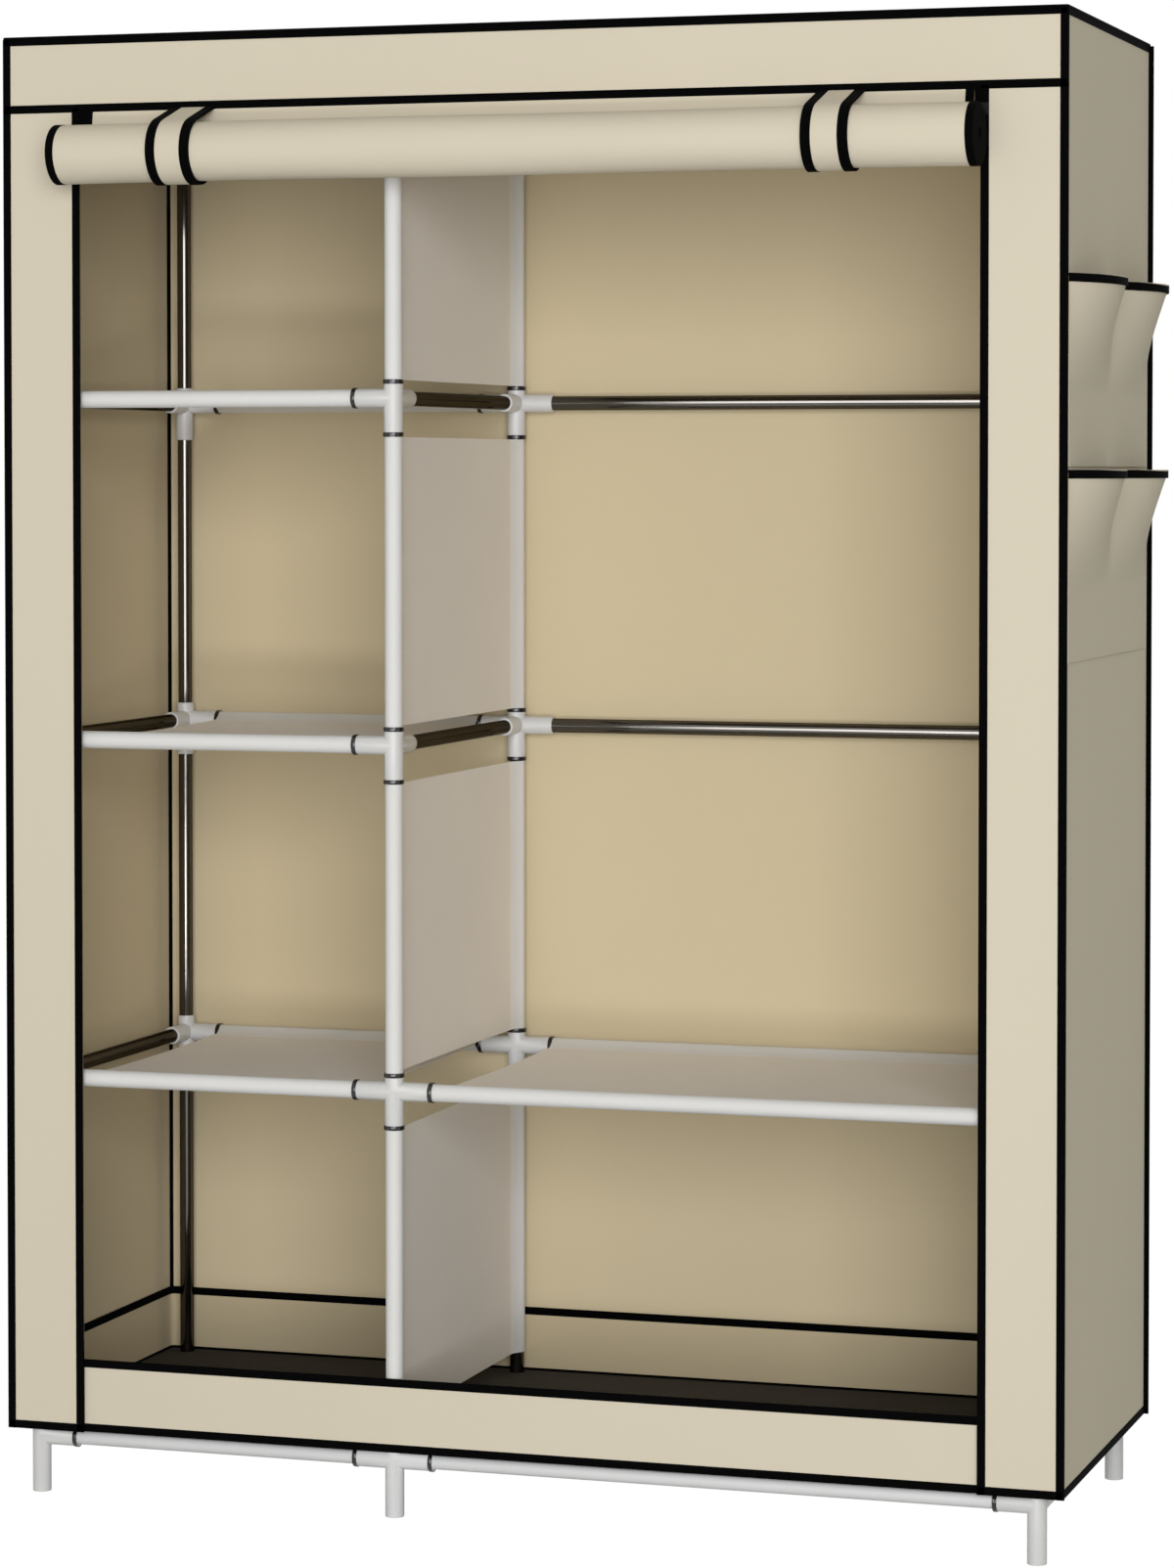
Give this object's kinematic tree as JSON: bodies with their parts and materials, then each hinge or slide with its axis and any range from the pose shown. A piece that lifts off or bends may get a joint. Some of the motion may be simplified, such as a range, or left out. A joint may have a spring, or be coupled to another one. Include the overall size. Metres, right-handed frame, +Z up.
{
  "type": "portable fabric wardrobe",
  "caption": "Free-standing tube-frame wardrobe under a bound fabric cover, with cloth shelves, hanging space, side pockets and a front door rolled up behind straps.",
  "frame": {"origin": "the middle of the whole part's footprint, on the floor", "axes": "+Z up, the open front faces -Y, and +X is to the right seen from the front"},
  "size_m": [1.1996, 0.5244, 1.586],
  "materials": {
    "cover_cloth": "matte",
    "lining_cloth": "matte",
    "tube_steel": "polished",
    "pale_rail": "satin",
    "connector_plastic": "satin",
    "black_trim": "satin"
  },
  "bodies": {
    "wardrobe": {"base_tray": "cover_cloth", "connector_centre_3_back": "connector_plastic", "connector_centre_3_front": "connector_plastic", "cover_back": "cover_cloth", "cover_header": "cover_cloth", "cover_jamb_left": "cover_cloth", "cover_jamb_right": "cover_cloth", "cover_left": "cover_cloth", "cover_right": "cover_cloth", "cover_top": "cover_cloth", "depth_rod_bottom": "tube_steel", "depth_rod_top": "tube_steel", "divider_1": "lining_cloth", "divider_2": "lining_cloth", "divider_3": "lining_cloth", "divider_4": "lining_cloth", "door_sheet": "cover_cloth", "hanging_rod_1": "tube_steel", "hanging_rod_2": "tube_steel", "pocket_row_lower": "cover_cloth", "pocket_row_upper": "cover_cloth", "post_centre_back": "tube_steel", "post_centre_front": "tube_steel", "post_left_back": "tube_steel", "post_left_front": "tube_steel", "post_right_back": "tube_steel", "post_right_front": "tube_steel", "rail_bottom_back": "pale_rail", "rail_bottom_front": "pale_rail", "rail_top_back": "pale_rail", "rail_top_front": "pale_rail", "rung_centre_1": "connector_plastic", "rung_centre_2": "connector_plastic", "rung_left_1": "connector_plastic", "rung_left_2": "connector_plastic", "rung_left_3": "connector_plastic", "rung_left_bottom": "connector_plastic", "rung_left_top": "connector_plastic", "rung_right_1": "connector_plastic", "rung_right_2": "connector_plastic", "rung_right_3": "connector_plastic", "rung_right_bottom": "connector_plastic", "rung_right_top": "connector_plastic", "shelf_left_1": "lining_cloth", "shelf_left_2": "lining_cloth", "shelf_left_3": "lining_cloth", "shelf_right_3": "lining_cloth", "shelf_rod_left_1_back": "tube_steel", "shelf_rod_left_1_front": "tube_steel", "shelf_rod_left_2_back": "tube_steel", "shelf_rod_left_2_front": "tube_steel", "shelf_rod_left_3_back": "tube_steel", "shelf_rod_left_3_front": "tube_steel", "shelf_rod_right_3_back": "tube_steel", "shelf_rod_right_3_front": "tube_steel", "strap_left": "cover_cloth", "strap_right": "cover_cloth"},
    "door": {"door_roll": "cover_cloth"},
    "zip_left": {"zip_slider_left": "black_trim"},
    "zip_right": {"zip_slider_right": "black_trim"}
  },
  "joints": [
    {"name": "door_drop", "type": "slide", "parent": "wardrobe", "child": "door", "axis": [0, 0, -1], "range_m": [0, 1.351], "deforming": ["door_sheet", "strap_left", "strap_right"]},
    {"name": "zip_left_slide", "type": "slide", "parent": "wardrobe", "child": "zip_left", "axis": [0, 0, -1], "range_m": [0, 1.38]},
    {"name": "zip_right_slide", "type": "slide", "parent": "wardrobe", "child": "zip_right", "axis": [0, 0, -1], "range_m": [0, 1.38]}
  ]
}
